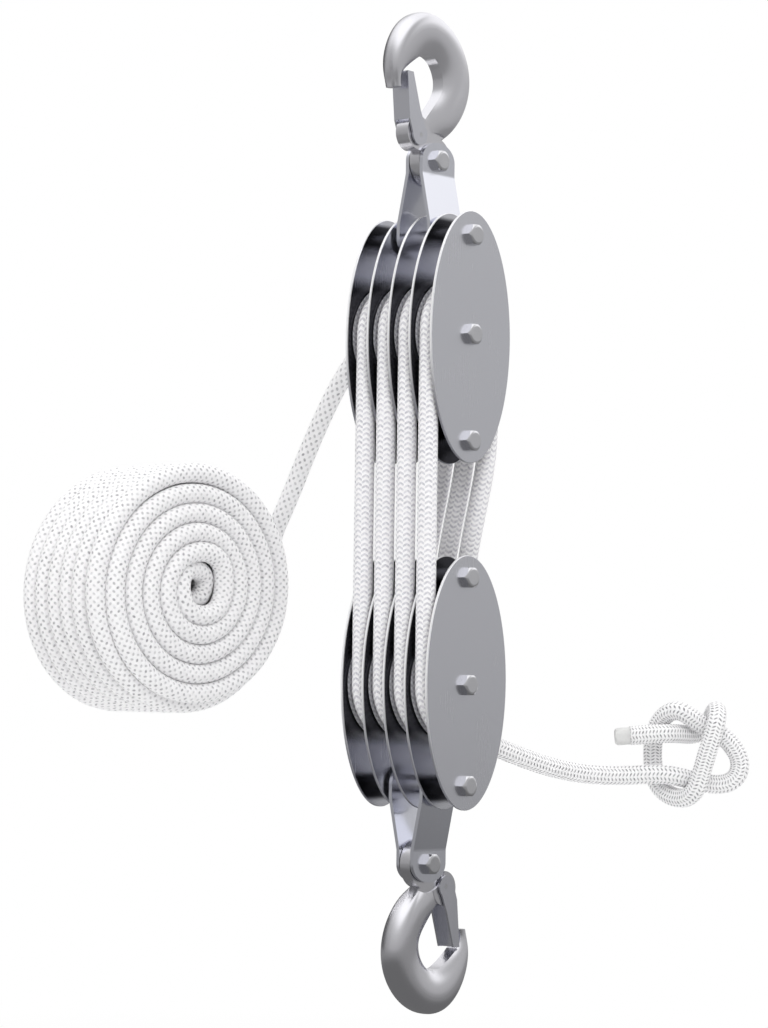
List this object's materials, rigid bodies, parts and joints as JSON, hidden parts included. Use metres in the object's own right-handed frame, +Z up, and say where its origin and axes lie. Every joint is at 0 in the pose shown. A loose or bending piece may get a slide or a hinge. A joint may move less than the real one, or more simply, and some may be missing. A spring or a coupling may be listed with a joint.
{
  "type": "rope block and tackle",
  "caption": "Hand-hauled rope block and tackle: two multi-sheave blocks of oval plates, each on a swivelling hanger with a latched hook, white braided rope, wound coil and knotted tail.",
  "frame": {"origin": "centre of the upper hook's bowl, where the tackle is hung", "axes": "+Z up along the tackle, +X along the bolts towards their heads, +Y towards the back falls"},
  "size_m": [0.3104, 0.2549, 0.5104],
  "materials": {
    "plate": "satin, brushed lengthwise",
    "zinc": "bright zinc plated",
    "forged": "satin plated forging",
    "strap": "bright plated",
    "latch": "plated sheet",
    "sheave": "turned, plated",
    "bush": "plain bearing",
    "rope": "white braid",
    "tip": "melted, translucent"
  },
  "bodies": {
    "upper_hook": {"upper_hook": "forged", "upper_latch_pin": "zinc"},
    "upper_latch": {"upper_latch": "latch"},
    "upper_hanger": {"upper_strap_near": "strap", "upper_strap_far": "strap", "upper_hook_bolt": "zinc", "upper_hook_nut": "zinc"},
    "upper_block": {"upper_plate_1": "plate", "upper_plate_2": "plate", "upper_plate_3": "plate", "upper_plate_4": "plate", "upper_plate_5": "plate", "upper_bolts": "zinc", "upper_nuts": "zinc", "upper_spacers": "zinc", "upper_sleeves": "zinc", "upper_rope_turns": "rope", "front_rope_strands": "rope", "back_rope_strands": "rope", "lead_rope": "rope", "rope_coil": "rope", "rope_coil_core": "rope"},
    "lower_block": {"lower_plate_1": "plate", "lower_plate_2": "plate", "lower_plate_3": "plate", "lower_plate_4": "plate", "lower_plate_5": "plate", "lower_bolts": "zinc", "lower_nuts": "zinc", "lower_spacers": "zinc", "lower_sleeves": "zinc", "lower_rope_turns": "rope", "tail_rope": "rope", "tail_rope_tip": "tip"},
    "lower_hanger": {"lower_strap_near": "strap", "lower_strap_far": "strap", "lower_hook_bolt": "zinc", "lower_hook_nut": "zinc"},
    "lower_hook": {"lower_hook": "forged", "lower_latch_pin": "zinc"},
    "lower_latch": {"lower_latch": "latch"},
    "upper_sheave_a": {"upper_sheave_a": "sheave", "upper_bush_a": "bush"},
    "upper_sheave_b": {"upper_sheave_b": "sheave", "upper_bush_b": "bush"},
    "upper_sheave_c": {"upper_sheave_c": "sheave", "upper_bush_c": "bush"},
    "upper_sheave_d": {"upper_sheave_d": "sheave", "upper_bush_d": "bush"},
    "lower_sheave_a": {"lower_sheave_a": "sheave", "lower_bush_a": "bush"},
    "lower_sheave_b": {"lower_sheave_b": "sheave", "lower_bush_b": "bush"},
    "lower_sheave_c": {"lower_sheave_c": "sheave", "lower_bush_c": "bush"},
    "lower_sheave_d": {"lower_sheave_d": "sheave", "lower_bush_d": "bush"}
  },
  "joints": [
    {"name": "upper_latch_hinge", "type": "hinge", "parent": "upper_hook", "child": "upper_latch", "pos_m": [0, -0.006, -0.0296], "axis": [1, 0, 0], "range_deg": [-26, 0], "stiffness_Nm_per_rad": 0.02, "springref_deg": 17.19},
    {"name": "upper_hook_swing", "type": "hinge", "parent": "upper_hook", "child": "upper_hanger", "pos_m": [0, 0.0076, -0.0414], "axis": [1, 0, 0], "range_deg": [-45, 45]},
    {"name": "upper_hanger_swing", "type": "hinge", "parent": "upper_hanger", "child": "upper_block", "pos_m": [0, 0.0076, -0.0814], "axis": [1, 0, 0], "range_deg": [-60, 60]},
    {"name": "lift", "type": "slide", "parent": "upper_block", "child": "lower_block", "axis": [0, 0, 1], "range_m": [0, 0.042], "deforming": ["front_rope_strands", "back_rope_strands"]},
    {"name": "lower_hanger_swing", "type": "hinge", "parent": "lower_block", "child": "lower_hanger", "pos_m": [0, 0.0076, -0.3594], "axis": [1, 0, 0], "range_deg": [-60, 60]},
    {"name": "lower_hook_swing", "type": "hinge", "parent": "lower_hanger", "child": "lower_hook", "pos_m": [0, 0.0076, -0.3994], "axis": [1, 0, 0], "range_deg": [-45, 45]},
    {"name": "lower_latch_hinge", "type": "hinge", "parent": "lower_hook", "child": "lower_latch", "pos_m": [0, 0.0212, -0.4112], "axis": [1, 0, 0], "range_deg": [-26, 0], "stiffness_Nm_per_rad": 0.02, "springref_deg": 17.19},
    {"name": "upper_sheave_a_spin", "type": "hinge", "parent": "upper_block", "child": "upper_sheave_a", "pos_m": [-0.021, 0.0076, -0.1319], "axis": [1, 0, 0], "continuous": true},
    {"name": "upper_sheave_b_spin", "type": "hinge", "parent": "upper_block", "child": "upper_sheave_b", "pos_m": [-0.007, 0.0076, -0.1319], "axis": [1, 0, 0], "continuous": true},
    {"name": "upper_sheave_c_spin", "type": "hinge", "parent": "upper_block", "child": "upper_sheave_c", "pos_m": [0.007, 0.0076, -0.1319], "axis": [1, 0, 0], "continuous": true},
    {"name": "upper_sheave_d_spin", "type": "hinge", "parent": "upper_block", "child": "upper_sheave_d", "pos_m": [0.021, 0.0076, -0.1319], "axis": [1, 0, 0], "continuous": true},
    {"name": "lower_sheave_a_spin", "type": "hinge", "parent": "lower_block", "child": "lower_sheave_a", "pos_m": [-0.021, 0.0076, -0.3089], "axis": [1, 0, 0], "continuous": true},
    {"name": "lower_sheave_b_spin", "type": "hinge", "parent": "lower_block", "child": "lower_sheave_b", "pos_m": [-0.007, 0.0076, -0.3089], "axis": [1, 0, 0], "continuous": true},
    {"name": "lower_sheave_c_spin", "type": "hinge", "parent": "lower_block", "child": "lower_sheave_c", "pos_m": [0.007, 0.0076, -0.3089], "axis": [1, 0, 0], "continuous": true},
    {"name": "lower_sheave_d_spin", "type": "hinge", "parent": "lower_block", "child": "lower_sheave_d", "pos_m": [0.021, 0.0076, -0.3089], "axis": [1, 0, 0], "continuous": true}
  ],
  "couplings": [
    {"joint": "upper_sheave_d_spin", "follows": "lift", "rad_per_m": -42.194},
    {"joint": "lower_sheave_c_spin", "follows": "lift", "rad_per_m": -84.388},
    {"joint": "upper_sheave_c_spin", "follows": "lift", "rad_per_m": -126.58},
    {"joint": "lower_sheave_b_spin", "follows": "lift", "rad_per_m": -168.78},
    {"joint": "upper_sheave_b_spin", "follows": "lift", "rad_per_m": -210.97},
    {"joint": "lower_sheave_a_spin", "follows": "lift", "rad_per_m": -253.16},
    {"joint": "upper_sheave_a_spin", "follows": "lift", "rad_per_m": -295.36}
  ]
}
